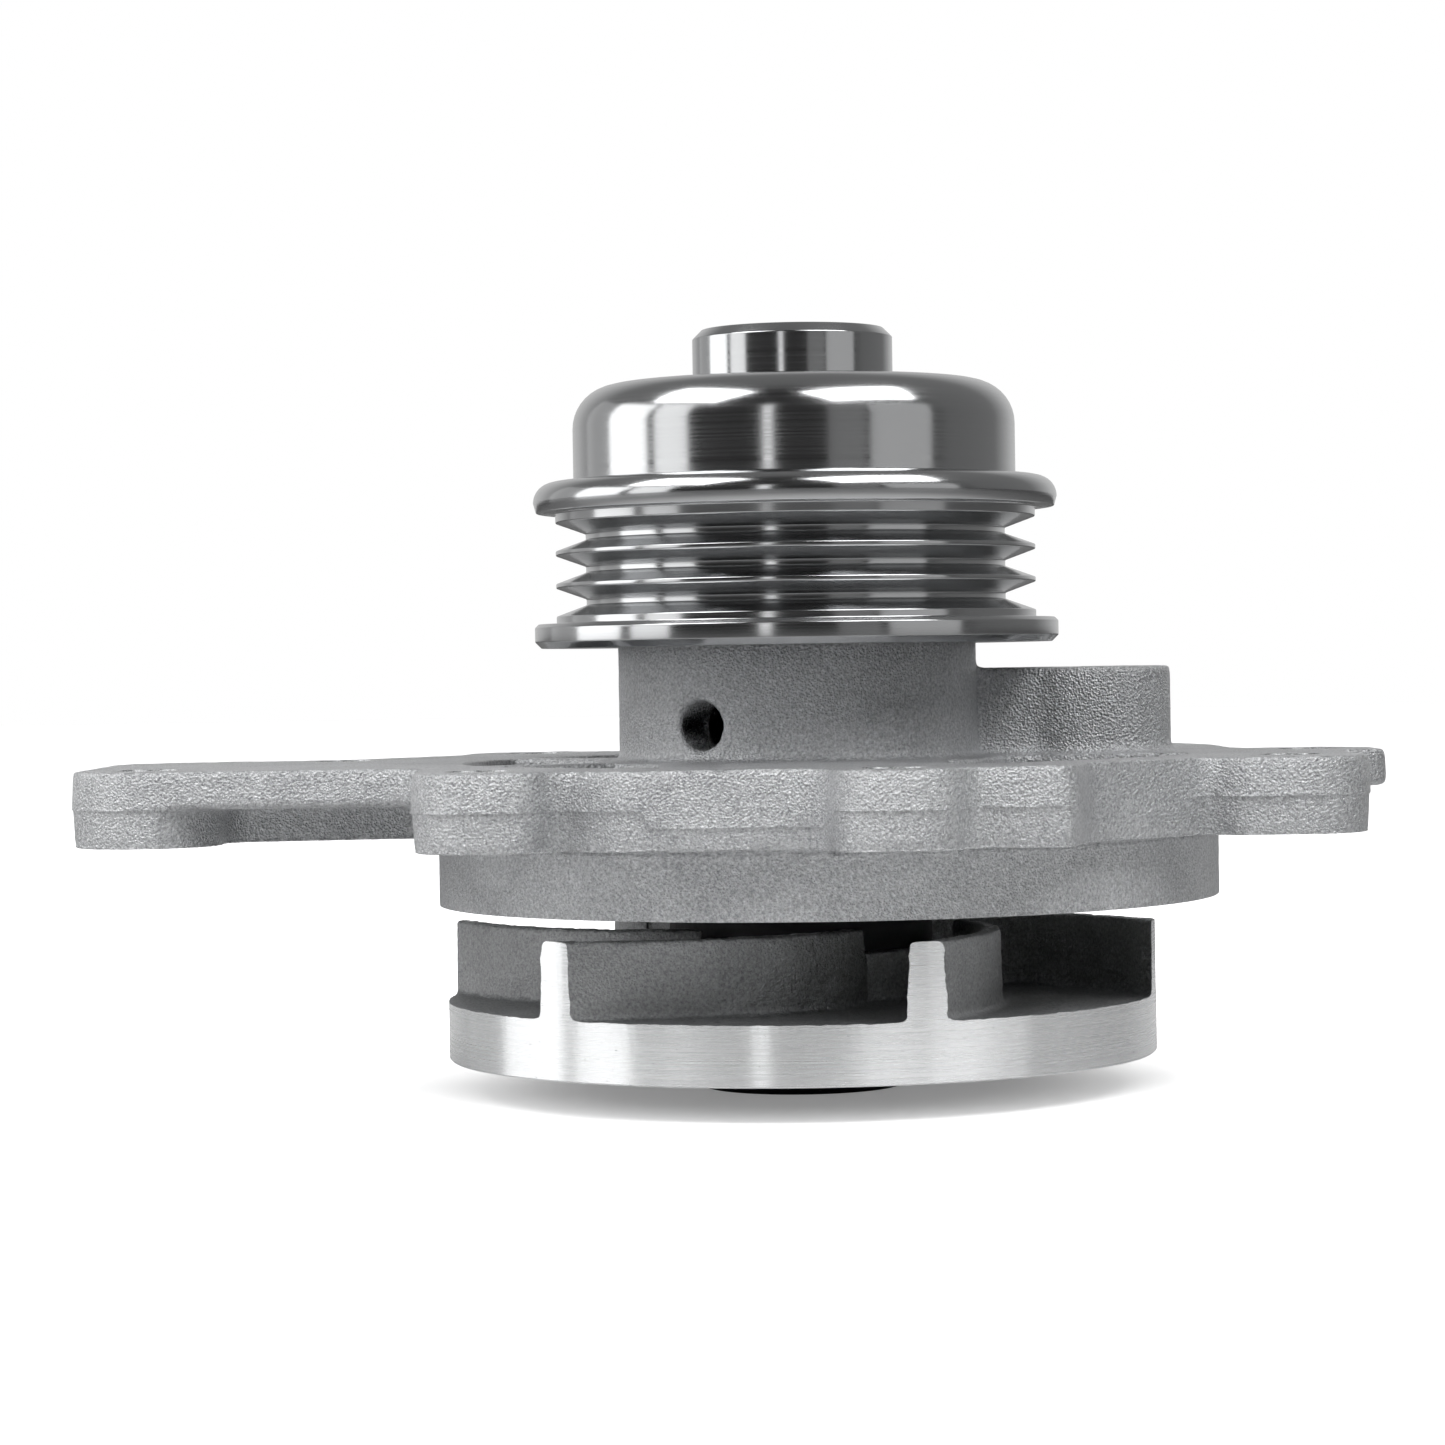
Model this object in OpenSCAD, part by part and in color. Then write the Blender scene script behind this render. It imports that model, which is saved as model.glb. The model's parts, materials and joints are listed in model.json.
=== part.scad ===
// Engine water pump: a die-cast cover with a bearing snout, a multi-rib belt pulley,
// an integral-shaft bearing, a spring-loaded face seal and a semi-open impeller.
// The shaft axis is Z. The origin lies on it, in the plane of the cover's mounting face.
// +Z points to the pulley, -Z to the impeller, -X along the long arm of the cover.

/* [Shaft and bearing] */
// Diameter of the shaft
shaft_d = 15.9; // [13:0.1:20]
// Length of the shaft
shaft_len = 81.3; // [79:0.1:82]
// Outer diameter of the bearing
bearing_od = 30; // [28:0.5:38]
// Length of the bearing's outer ring
bearing_len = 29.6; // [27:0.1:30]
// Height of the shoulder that the bearing stands on
bearing_z = 14.6; // [14.6:0.1:16]
// Diameter of the rollers
roller_d = 4.2; // [3.4:0.1:4.4]
// Length of the rollers
roller_len = 8; // [5:0.5:10]
// Number of rollers
roller_count = 10; // [6:1:10]
// Diameter of the balls
ball_d = 5.5; // [4.6:0.1:5.8]
// Number of balls
ball_count = 8; // [5:1:8]
// Radial clearance of rollers and balls in their tracks
track_gap = 0.02; // [0.01:0.01:0.05]

/* [Cover casting] */
// Thickness of the flange plate
plate_t = 8.1; // [7:0.1:10]
// Height of the land under the plate that closes the pump chamber
land_h = 7.3; // [6:0.1:9]
// Thickness of the floor over the impeller
floor_t = 4; // [3:0.1:4.5]
// Wall between the land's outside and the pockets in the top
wall_t = 3.2; // [2.5:0.1:4.5]
// Top of the bearing snout
snout_top = 43.5; // [41:0.1:43.8]
// Wall of the snout round the bearing
snout_wall = 4.6; // [3.5:0.1:5.6]
// Clearance diameter of the mounting screw holes
bolt_hole_d = 6.6; // [5.2:0.1:6.8]
// Outer radius of the lobes round the screw holes
lobe_r = 6.4; // [6.2:0.1:7.4]
// Distance of the arm's screw hole from the land
arm_reach = 31; // [26:0.5:40]
// Radius of the side boss
boss_r = 9.45; // [8:0.05:11]
// Top of the side boss
boss_top = 17.6; // [13:0.1:20]
// Distance of the side boss from the shaft
boss_reach = 33.3; // [31:0.1:36]
// Diameter of the thread's core hole in the side boss
boss_hole_d = 6.8; // [5:0.1:8.5]
// Depth of that hole
boss_hole_depth = 14; // [8:0.5:16]
// Diameter of the weep hole
weep_d = 5.15; // [3:0.05:5.2]
// Height of the weep hole
weep_z = 11.95; // [11.2:0.05:12]

/* [Pulley] */
// Gap between the snout and the inside of the pulley
pulley_gap = 1.4; // [1:0.1:2.5]
// Wall of the pulley behind the grooves
pulley_wall = 1.95; // [1.6:0.05:3]
// Underside of the pulley
pulley_z = 20.45; // [19.5:0.05:21.5]
// Pitch of the belt ribs
rib_pitch = 3.56; // [3.2:0.02:3.6]
// Number of belt grooves
rib_count = 3; // [2:1:3]
// Depth of the belt grooves
rib_depth = 3.3; // [2.5:0.1:3.4]
// Height of the belt guides over the ribs
guide_h = 2.4; // [1.5:0.1:3.5]
// Top of the pulley's dome
dome_top = 49.05; // [48:0.05:50]
// Radius of the dome's shoulder
shoulder_r = 4.7; // [3:0.1:6]
// Outer radius of the nose
nose_r = 10.95; // [10.8:0.05:13]
// Top of the nose
nose_top = 55; // [54.8:0.1:58]

/* [Impeller] */
// Outer radius of the impeller
impeller_r = 38.7; // [34:0.1:47]
// Thickness of the impeller's disc
disc_t = 6.3; // [5:0.1:8]
// Height of the vanes over the disc
vane_h = 8.1; // [7:0.1:10]
// Gap between the vanes and the cover
vane_gap = 2.4; // [2:0.1:3]
// Number of vanes
vane_count = 6; // [5:1:7]
// Width of a vane along the rim
vane_w = 4.1; // [3:0.1:5]
// Angle that a vane sweeps from its tip to its root
vane_sweep = 60; // [40:1:66]
// Radius of the steel insert in the hub
insert_r = 11.5; // [11.2:0.1:12.5]
// How far the insert stands out under the disc
insert_out = 3.7; // [2:0.1:5]

/* [Seal] */
// Diameter of the seal case
seal_od = 36.5; // [35:0.1:44]
// Thickness of the case's sheet
sheet_t = 0.8; // [0.6:0.05:1]
// Wall of the sleeve on the shaft
sleeve_t = 0.75; // [0.6:0.05:1]
// Width of the ceramic seat ring
seat_w = 4.1; // [3.4:0.1:4.6]
// Thickness of the ceramic seat ring
seat_t = 4.4; // [3.4:0.1:4.8]
// Rubber round the seat ring
seat_rubber = 1; // [0.8:0.05:1.2]
// Height of the carbon ring
carbon_h = 3.6; // [3:0.1:4]
// Diameter of the spring's wire
wire_d = 1.1; // [0.9:0.05:1.3]
// Turns of the spring
spring_turns = 3.5; // [2.5:0.5:3.5]

/* [Hidden] */
$fn = 96;
eps = 0.01;
far = 120;

// Shaft and bearing
shaft_r = shaft_d / 2;
ring_bore = shaft_r + roller_d + 2 * track_gap;
bearing_r = bearing_od / 2;
bearing_top = bearing_z + bearing_len;
track_r = shaft_r + roller_d / 2 + track_gap;
ball_r = ball_d / 2;
groove_r = ball_r + track_gap;
lip_t = 1.2;
lip_gap = 0.06;
lip_inset = 0.5;
lip_room = lip_inset + lip_t + 0.8;
ball_z = bearing_top - lip_room - ball_r - 2.2;
roller_z = bearing_z + lip_room + 2.6;
cage_t = 1.5;
cage_gap = 0.12;

// Impeller
land_z = -land_h;
vane_top = land_z - vane_gap;
disc_top = vane_top - vane_h;
disc_z = disc_top - disc_t;
insert_z = disc_z - insert_out;
hub_top = land_z - 5;
hub_r = insert_r + 3.7;
shaft_z = insert_z + 1;
shaft_top = shaft_z + shaft_len;
vane_root_r = hub_r + 1.8;

// Snout and pulley
snout_r = bearing_r + snout_wall;
cup_r = snout_r + pulley_gap;
root_r = cup_r + pulley_wall;
rib_r = root_r + rib_depth;
guide_r = rib_r + guide_h;
guide_t = 2.65;
land_w = 0.75;
flank = 20;
root_flat = 0.33;
groove_half = root_flat + rib_depth * tan(flank);
rib_z = pulley_z + guide_t + land_w + groove_half + 0.08;
upper_guide_z = rib_z + (rib_count - 1) * rib_pitch + groove_half + 1.1;
upper_guide_t = 3.3;
guide_round = 2.2;
dome_r = root_r + 1.25;
web_t = 3.4;
web_z = dome_top - web_t;
hub_end = bearing_top + 1;
nose_chamfer = 1;
lead_chamfer = 1.2;

// Seal
seal_r = seal_od / 2;
case_top = 5;
case_roof = case_top - sheet_t;
case_bore = seal_r - sheet_t;
case_flange_r = seal_r + 2.3;
sleeve_r = shaft_r + sleeve_t;
seat_in = sleeve_r + 0.6;
seat_out = seat_in + seat_w;
cup_out = seat_out + seat_rubber;
seat_z = hub_top + seat_rubber;
face_z = seat_z + seat_t;
carbon_in = seat_in + 0.3;
carbon_out = carbon_in + 3;
carbon_top = face_z + carbon_h;
nose_w = 1.5;
nose_h = 1;
band_t = 0.6;
band_out = carbon_out + band_t;
band_rim = case_bore - 0.7;
coil_r = band_rim - wire_d / 2 - 0.2;
hole_r = carbon_in + 0.6;

// The outside of the land is a scroll: its radius grows from the tongue round to the outlet
scroll_small_r = impeller_r + 0.6;
scroll_growth = 17.8;
scroll_from = 100;
scroll_turn = 320;
function scroll_r(a) = scroll_small_r + scroll_growth * pow((a - scroll_from) / 360, 3);
function polar(r, a) = r * [cos(a), sin(a)];
function scroll_points(inset) = [
    for (i = [0:80]) let(a = scroll_from + scroll_turn * i / 80) polar(scroll_r(a) - inset, a)
];

// Screw holes: an angle, and a distance out from the scroll
function bolt_at(a, out) = polar(scroll_r(a) + out, a);
front_bolt = bolt_at(280.3, 5.4);
right_bolt = bolt_at(341.2, 9.7);
front_left_bolt = bolt_at(228.2, 9.2);
arm_bolt = bolt_at(190, arm_reach);
lug_bolt = bolt_at(366, 10.6);
back_right_bolt = bolt_at(409, 7);
back_left_bolt = bolt_at(126.4, 12.9);
back_bolt = -front_bolt;
arm_root_bolt = -right_bolt;
bolts = [
    front_bolt, right_bolt, front_left_bolt, arm_bolt, lug_bolt,
    back_right_bolt, back_left_bolt, back_bolt, arm_root_bolt
];

// Flange plate
split_z = plate_t / 2;
rail_w = 2.9;
front_y = -scroll_r(270) - rail_w;
back_y = scroll_r(405) * sin(45) + 12;
arm_x = arm_bolt[0] - lobe_r - 1.8;
arm_front = arm_bolt[1] - lobe_r - 1.8;
arm_back = 22.5;
right_x = right_bolt[0] + lobe_r + 1.6;
right_front = right_bolt[1] - lobe_r - 3;
left_x = front_left_bolt[0] - lobe_r - 0.4;
left_front = front_left_bolt[1] - lobe_r - 1;
lug_x = lug_bolt[0] + lobe_r + 1.6;
lug_back = lug_bolt[1] + lobe_r + 1.4;
lug_front = lug_bolt[1] - lobe_r - 2;
scroll_side_x = scroll_r(380) * cos(20) + 5.4;

// One rounded corner of an outline: points on the arc of radius r that touches both edges
function corner(before, here, after, r, steps) =
    let(
        a = (before - here) / norm(before - here),
        b = (after - here) / norm(after - here),
        half = acos(a * b) / 2,
        middle = here + (a + b) / norm(a + b) * r / sin(half),
        from = here + a * r / tan(half) - middle,
        to = here + b * r / tan(half) - middle,
        start = atan2(from[1], from[0]),
        swing = atan2(to[1], to[0]) - start,
        turn = swing > 180 ? swing - 360 : swing < -180 ? swing + 360 : swing
    )
    [for (i = [0:steps]) middle + polar(r, start + turn * i / steps)];

// A closed outline whose corners are [x, y, radius]
function rounded(corners, steps = 8) = [
    for (i = [0:len(corners) - 1])
        let(
            n = len(corners),
            p = corners[(i + n - 1) % n],
            c = corners[i],
            q = corners[(i + 1) % n]
        )
        each corner([p[0], p[1]], [c[0], c[1]], [q[0], q[1]], c[2], steps)
];

function arc(x, z, r, a0, a1, steps = 10) = [
    for (i = [0:steps]) [x, z] + polar(r, a0 + (a1 - a0) * i / steps)
];

plate_outline = rounded([
    [arm_x, arm_front, 7.9],
    [left_x, arm_front, 4.5],
    [left_x, left_front, 6.4],
    [left_x + 12.2, left_front, 4],
    [left_x + 15, left_front + 4.6, 2.2],
    [left_x + 21, front_y - 0.4, 5],
    [front_bolt[0] - 7, front_y + 0.6, 4],
    [front_bolt[0] - 5.4, front_bolt[1] - lobe_r + 0.6, 4.5],
    [front_bolt[0] + 5.2, front_bolt[1] - lobe_r + 0.6, 5],
    [front_bolt[0] + 8, front_y - 2.6, 3],
    [front_bolt[0] + 18, front_y - 2.9, 2.4],
    [front_bolt[0] + 20.4, front_y + 7.7, 3.2],
    [right_x - 17.4, right_front + 2.6, 2],
    [right_x - 14.6, right_front - 0.4, 4.2],
    [right_x, right_front - 0.4, 7.4],
    [right_x, lug_front, 1.4],
    [lug_x, lug_front, 3.8],
    [lug_x, lug_back, 7],
    [scroll_side_x, lug_back, 4],
    [scroll_side_x, lug_back + 20, 10],
    [back_right_bolt[0] + lobe_r + 1.6, back_right_bolt[1] + lobe_r + 0.6, 8],
    [back_right_bolt[0] - lobe_r, back_right_bolt[1] + lobe_r + 0.6, 6],
    [back_right_bolt[0] - lobe_r - 4, back_y, 4],
    [back_bolt[0] + 9.4, back_y, 4],
    [back_bolt[0] + 5.6, back_bolt[1] + lobe_r, 5],
    [back_bolt[0] - 5, back_bolt[1] + lobe_r, 5],
    [back_bolt[0] - 9, back_y, 4],
    [back_left_bolt[0] + 9.4, back_y, 3],
    [back_left_bolt[0] + 6.4, back_left_bolt[1] + lobe_r + 1.6, 6],
    [back_left_bolt[0] - 7.4, back_left_bolt[1] + lobe_r + 1.6, 7],
    [back_left_bolt[0] - 9.4, back_left_bolt[1] - 5, 7],
    [arm_x + 25, arm_back, 8],
    [arm_x, arm_back, 9]
]);

// The underside is set back below the arm's web and below the lug
web_recess = rounded([
    [arm_bolt[0] + 2, arm_front - 6, 1],
    [left_x, arm_front - 6, 1],
    [left_x, -4.2, 3],
    [arm_bolt[0] + lobe_r + 2.5, -7.2, 3],
    [arm_bolt[0] + lobe_r + 1.2, arm_bolt[1] + 1, 1],
    [arm_bolt[0] + 2, arm_bolt[1] + 1, 1]
]);
lug_recess = rounded([
    [right_x, lug_front - 8, 1],
    [lug_x + 6, lug_front - 8, 1],
    [lug_x + 6, lug_back + 6, 1],
    [scroll_side_x + 1, lug_back + 6, 1],
    [scroll_side_x + 1, lug_bolt[1] - 5, 2],
    [right_x, lug_bolt[1] - 5, 2]
]);
passage = rounded([
    [arm_x + 6, -1.5, 3],
    [arm_x + 33, -1.5, 3],
    [arm_x + 21, 9.5, 3],
    [arm_x + 6, 16, 3]
]);
passage_depth = 4.4;

// Side boss and its web
boss_a = 13.9;
boss_at = polar(boss_reach, boss_a);
boss_web_front = 0.4;
boss_web_back = boss_at[1] + 5;
pad_half = 15.2;
pocket_in = max(snout_r, seal_r) + 3;
rib_t = 3.4;
weep_a = 237;

// Colours of the finishes
cast_alloy = [0.66, 0.67, 0.68];
dark_cast = [0.42, 0.43, 0.44];
turned_steel = [0.74, 0.75, 0.77];
bearing_steel = [0.62, 0.64, 0.67];
black_steel = [0.12, 0.12, 0.13];
black_rubber = [0.08, 0.08, 0.08];
ceramic_white = [0.88, 0.86, 0.8];
carbon_black = [0.16, 0.16, 0.17];
cage_amber = [0.7, 0.6, 0.38];

module extrude_between(z0, z1) {
    translate([0, 0, z0])
        linear_extrude(height = z1 - z0)
            children();
}

module tube(outer, inner, z0, z1) {
    translate([0, 0, z0])
        difference() {
            cylinder(r = outer, h = z1 - z0);
            translate([0, 0, -eps])
                cylinder(r = inner, h = z1 - z0 + 2 * eps);
        }
}

module drill(r, z0, z1) {
    translate([0, 0, z0])
        cylinder(r = r, h = z1 - z0);
}

module at(p) {
    translate([p[0], p[1], 0])
        children();
}

// Pockets that lighten the casting between the snout and the land's wall
module pocket_shape() {
    difference() {
        polygon(scroll_points(wall_t));
        circle(r = pocket_in);
        translate([-pad_half, -far])
            square([2 * pad_half, far]);
        at(boss_at)
            circle(r = boss_r + 2);
        translate([0, boss_web_front - 2])
            square([far, boss_web_back - boss_web_front + 4]);
        for (a = [90, 150, 205])
            rotate(a)
                translate([0, -rib_t / 2])
                    square([far, rib_t]);
    }
}

module side_boss() {
    at(boss_at)
        drill(boss_r, 0, boss_top);
    translate([0, boss_web_front, 0])
        cube([boss_at[0], boss_web_back - boss_web_front, boss_top]);
}

module pump_housing() {
    color(cast_alloy)
        difference() {
            union() {
                extrude_between(0, plate_t)
                    polygon(plate_outline);
                extrude_between(land_z, eps)
                    polygon(scroll_points(0));
                drill(snout_r, 0, snout_top);
                side_boss();
            }
            extrude_between(-eps, split_z)
                difference() {
                    polygon(web_recess);
                    at(arm_bolt)
                        circle(r = lobe_r + 1.8);
                }
            extrude_between(-eps, split_z)
                polygon(lug_recess);
            extrude_between(-eps, passage_depth)
                polygon(passage);
            extrude_between(land_z + floor_t, plate_t + eps)
                pocket_shape();
            for (p = bolts)
                at(p)
                    drill(bolt_hole_d / 2, -far, far);
            at(boss_at)
                drill(boss_hole_d / 2, boss_top - boss_hole_depth, boss_top + eps);
            drill(seal_r, land_z - eps, case_top);
            drill(bearing_r - lead_chamfer, case_top - eps, bearing_z + eps);
            drill(bearing_r, bearing_z, snout_top + eps);
            rotate(weep_a)
                translate([bearing_r - 4, 0, weep_z])
                    rotate([0, 90, 0])
                        cylinder(d = weep_d, h = snout_wall + 8);
        }
}

module bearing_outer_ring() {
    color(bearing_steel)
        rotate_extrude()
            difference() {
                polygon([
                    [ring_bore, bearing_z],
                    [bearing_r - 0.5, bearing_z],
                    [bearing_r, bearing_z + 0.5],
                    [bearing_r, bearing_top - 0.5],
                    [bearing_r - 0.5, bearing_top],
                    [ring_bore, bearing_top]
                ]);
                translate([track_r, ball_z])
                    circle(r = groove_r);
            }
}

module lip_seal(z) {
    color(black_rubber)
        tube(ring_bore, shaft_r + lip_gap, z, z + lip_t);
}

module bearing_seal_front() {
    lip_seal(bearing_top - lip_inset - lip_t);
}

module bearing_seal_rear() {
    lip_seal(bearing_z + lip_inset);
}

module bearing_balls() {
    color(bearing_steel)
        for (i = [0:ball_count - 1])
            rotate(360 * i / ball_count)
                translate([track_r, 0, ball_z])
                    sphere(r = ball_r);
}

module ball_cage() {
    color(cage_amber)
        difference() {
            tube(track_r + cage_t / 2, track_r - cage_t / 2, ball_z - ball_r - 0.8, ball_z + ball_r + 0.8);
            for (i = [0:ball_count - 1])
                rotate(360 * i / ball_count)
                    translate([track_r, 0, ball_z])
                        rotate([0, 90, 0])
                            cylinder(r = ball_r + cage_gap, h = 3 * cage_t, center = true);
        }
}

module bearing_rollers() {
    color(bearing_steel)
        for (i = [0:roller_count - 1])
            rotate(360 * i / roller_count)
                translate([track_r, 0, roller_z])
                    cylinder(d = roller_d, h = roller_len);
}

module roller_cage() {
    slot_w = roller_d + 2 * cage_gap;
    slot_h = roller_len + 2 * cage_gap;
    color(cage_amber)
        difference() {
            tube(track_r + cage_t / 2, track_r - cage_t / 2, roller_z - 1.6, roller_z + roller_len + 1.6);
            for (i = [0:roller_count - 1])
                rotate(360 * i / roller_count)
                    translate([track_r - 1.5 * cage_t, -slot_w / 2, roller_z - cage_gap])
                        cube([3 * cage_t, slot_w, slot_h]);
        }
}

module shaft() {
    bevel = 0.8;
    color(bearing_steel)
        rotate_extrude()
            difference() {
                polygon([
                    [0, shaft_z],
                    [shaft_r - bevel, shaft_z],
                    [shaft_r, shaft_z + bevel],
                    [shaft_r, shaft_top - bevel],
                    [shaft_r - bevel, shaft_top],
                    [0, shaft_top]
                ]);
                translate([track_r, ball_z])
                    circle(r = groove_r);
            }
}

// Disc on the shaft that throws leaked coolant out to the weep hole
module slinger() {
    dish = 1.4;
    slinger_r = bearing_r - lead_chamfer - 1.3;
    slinger_z = case_top + 2;
    color(black_rubber)
        rotate_extrude()
            polygon([
                [shaft_r, slinger_z],
                [slinger_r - 1, slinger_z],
                [slinger_r, slinger_z - dish],
                [slinger_r, slinger_z - dish + 1],
                [slinger_r - 1, slinger_z + 1],
                [shaft_r + 1.2, slinger_z + 1],
                [shaft_r + 1.2, slinger_z + 2.4],
                [shaft_r, slinger_z + 2.4]
            ]);
}

// Half section of the pulley's outside, one groove above the other
function groove_points(z) = [
    [rib_r, z - groove_half],
    [root_r, z - root_flat],
    [root_r, z + root_flat],
    [rib_r, z + groove_half]
];

module pulley() {
    upper_top = upper_guide_z + upper_guide_t;
    profile = concat(
        [
            [cup_r, pulley_z],
            [guide_r - 0.7, pulley_z],
            [guide_r, pulley_z + 0.7],
            [guide_r, pulley_z + guide_t - 0.4],
            [guide_r - 0.4, pulley_z + guide_t],
            [rib_r, pulley_z + guide_t]
        ],
        [for (i = [0:rib_count - 1]) each groove_points(rib_z + i * rib_pitch)],
        [
            [rib_r, upper_guide_z],
            [guide_r - 0.3, upper_guide_z]
        ],
        arc(guide_r - guide_round, upper_top - guide_round, guide_round, 0, 90),
        [[dome_r, upper_top]],
        arc(dome_r - shoulder_r, dome_top - shoulder_r, shoulder_r, 0, 90),
        [
            [nose_r, dome_top],
            [nose_r, nose_top - nose_chamfer],
            [nose_r - nose_chamfer, nose_top],
            [shaft_r + 0.5, nose_top],
            [shaft_r, nose_top - 0.5],
            [shaft_r, hub_end],
            [shaft_r + 4, hub_end],
            [shaft_r + 4, web_z]
        ],
        arc(cup_r - 1.6, web_z - 1.6, 1.6, 90, 0, 6)
    );
    color(turned_steel)
        rotate_extrude()
            polygon(profile);
}

// Vane: its middle line sweeps round as it nears the hub
vane_steps = 14;
vane_tip_a = -132;
function vane_a(r) = vane_sweep * pow((impeller_r - r) / (impeller_r - vane_root_r), 1.2);
function vane_half(r) = (vane_w / 2) * (0.8 + 0.2 * (r - vane_root_r) / (impeller_r - vane_root_r));
function vane_point(i, side) =
    let(
        r = vane_root_r + (impeller_r + 2 - vane_root_r) * i / vane_steps,
        reach = min(r, impeller_r)
    )
    polar(r, vane_a(reach) + side * vane_half(reach) * 180 / (PI * r));
vane_outline = concat(
    [for (i = [0:vane_steps]) vane_point(i, 1)],
    [for (i = [vane_steps:-1:0]) vane_point(i, -1)]
);

module impeller() {
    color(dark_cast)
        difference() {
            union() {
                drill(impeller_r, disc_z, disc_top);
                drill(hub_r, disc_z, hub_top);
                intersection() {
                    drill(impeller_r, disc_z, vane_top);
                    union() {
                        for (i = [0:vane_count - 1])
                            rotate(vane_tip_a + 360 * i / vane_count)
                                extrude_between(disc_top - eps, vane_top)
                                    polygon(vane_outline);
                    }
                }
            }
            drill(insert_r, disc_z - eps, hub_top + eps);
        }
}

module impeller_insert() {
    bevel = 0.6;
    color(black_steel)
        rotate_extrude()
            polygon([
                [shaft_r, insert_z],
                [insert_r - bevel, insert_z],
                [insert_r, insert_z + bevel],
                [insert_r, hub_top],
                [shaft_r, hub_top]
            ]);
}

module seal_case() {
    color(turned_steel)
        rotate_extrude()
            polygon([
                [hole_r, case_roof],
                [case_bore, case_roof],
                [case_bore, land_z - sheet_t],
                [case_flange_r, land_z - sheet_t],
                [case_flange_r, land_z],
                [seal_r, land_z],
                [seal_r, case_top],
                [hole_r, case_top]
            ]);
}

// Rubber bellows between the case's roof and the back of the carbon ring
module seal_bellows() {
    wall = 0.9;
    fold_out = carbon_out + 0.4;
    middle = (carbon_top + case_roof) / 2;
    color(black_rubber)
        rotate_extrude()
            polygon([
                [carbon_in + 0.3, carbon_top],
                [carbon_out - 0.2, carbon_top],
                [carbon_out - 0.2, carbon_top + wall],
                [carbon_in + 0.3 + wall, carbon_top + wall],
                [fold_out, middle],
                [carbon_in + 0.3 + wall, case_roof - wall],
                [fold_out, case_roof - wall],
                [fold_out, case_roof],
                [carbon_in + 0.3, case_roof],
                [carbon_in + 0.3, case_roof - wall],
                [fold_out - wall - 0.3, middle],
                [carbon_in + 0.3, carbon_top + wall]
            ]);
}

// The spring is one round wire swept along a helix
spring_low = carbon_top + 0.05;
spring_high = case_roof - 0.05;
spring_steps = 24;
spring_sides = 8;
function wire_point(i, j) =
    let(
        t = i / (spring_turns * spring_steps),
        a = 360 * i / spring_steps,
        climb = spring_high - spring_low - wire_d,
        r = coil_r + wire_d / 2 * cos(360 * j / spring_sides)
    )
    [
        r * cos(a),
        r * sin(a),
        spring_low + wire_d / 2 + climb * t + wire_d / 2 * sin(360 * j / spring_sides)
    ];

module seal_spring() {
    rings = spring_turns * spring_steps;
    points = [for (i = [0:rings], j = [0:spring_sides - 1]) wire_point(i, j)];
    sides = [
        for (i = [0:rings - 1], j = [0:spring_sides - 1])
            let(k = (j + 1) % spring_sides, low = i * spring_sides, high = low + spring_sides)
            [low + j, high + j, high + k, low + k]
    ];
    first_end = [for (j = [0:spring_sides - 1]) j];
    last_end = [for (j = [spring_sides - 1:-1:0]) rings * spring_sides + j];
    color(bearing_steel)
        polyhedron(points, concat(sides, [first_end, last_end]));
}

// Band that carries the carbon ring and takes the spring's push
module seal_spring_band() {
    color(turned_steel)
        rotate_extrude()
            polygon([
                [carbon_out, face_z + nose_h + 0.6],
                [band_out, face_z + nose_h + 0.6],
                [band_out, carbon_top - band_t],
                [band_rim, carbon_top - band_t],
                [band_rim, carbon_top],
                [carbon_out, carbon_top]
            ]);
}

module seal_carbon_ring() {
    color(carbon_black)
        rotate_extrude()
            polygon([
                [carbon_in, face_z + nose_h],
                [carbon_in + 0.6, face_z],
                [carbon_in + 0.6 + nose_w, face_z],
                [carbon_out, face_z + nose_h],
                [carbon_out, carbon_top],
                [carbon_in, carbon_top]
            ]);
}

module seal_seat_ring() {
    color(ceramic_white)
        tube(seat_out, seat_in, seat_z, face_z);
}

module seal_seat_cup() {
    color(black_rubber)
        rotate_extrude()
            polygon([
                [sleeve_r, hub_top],
                [cup_out, hub_top],
                [cup_out, face_z - 1.2],
                [seat_out, face_z - 1.2],
                [seat_out, seat_z],
                [seat_in, seat_z],
                [seat_in, face_z - 1.2],
                [sleeve_r, face_z - 1.2]
            ]);
}

module seal_sleeve() {
    color(turned_steel)
        tube(sleeve_r, shaft_r, hub_top, case_top + 1.6);
}

pump_housing();
bearing_outer_ring();
bearing_seal_front();
bearing_seal_rear();
seal_case();
seal_bellows();
seal_spring();
seal_spring_band();
seal_carbon_ring();
seal_seat_ring();
seal_seat_cup();
seal_sleeve();
shaft();
slinger();
pulley();
impeller();
impeller_insert();
bearing_balls();
ball_cage();
bearing_rollers();
roller_cage();
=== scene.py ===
# %% [markdown]
# # An engine's water pump
#
# A water pump pushes coolant round an engine. A belt turns the steel pulley at the top, the
# pulley turns a shaft, and the shaft turns a cast impeller at the bottom. The cast cover in the
# middle bolts to the engine, carries the shaft's bearing in its snout and seals the coolant in.
#
# The frame that we load holds the exact shape of every piece. Here each piece gets the look of
# the way it was made: a glittering grain where metal was cast and blasted, rings where it was
# turned on a lathe, and sharp edges only where a tool has cut.

# %% Load the frame
import json
import math

import bmesh
import bpy
import numpy as np
from mathutils import Matrix, Vector, noise

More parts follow.
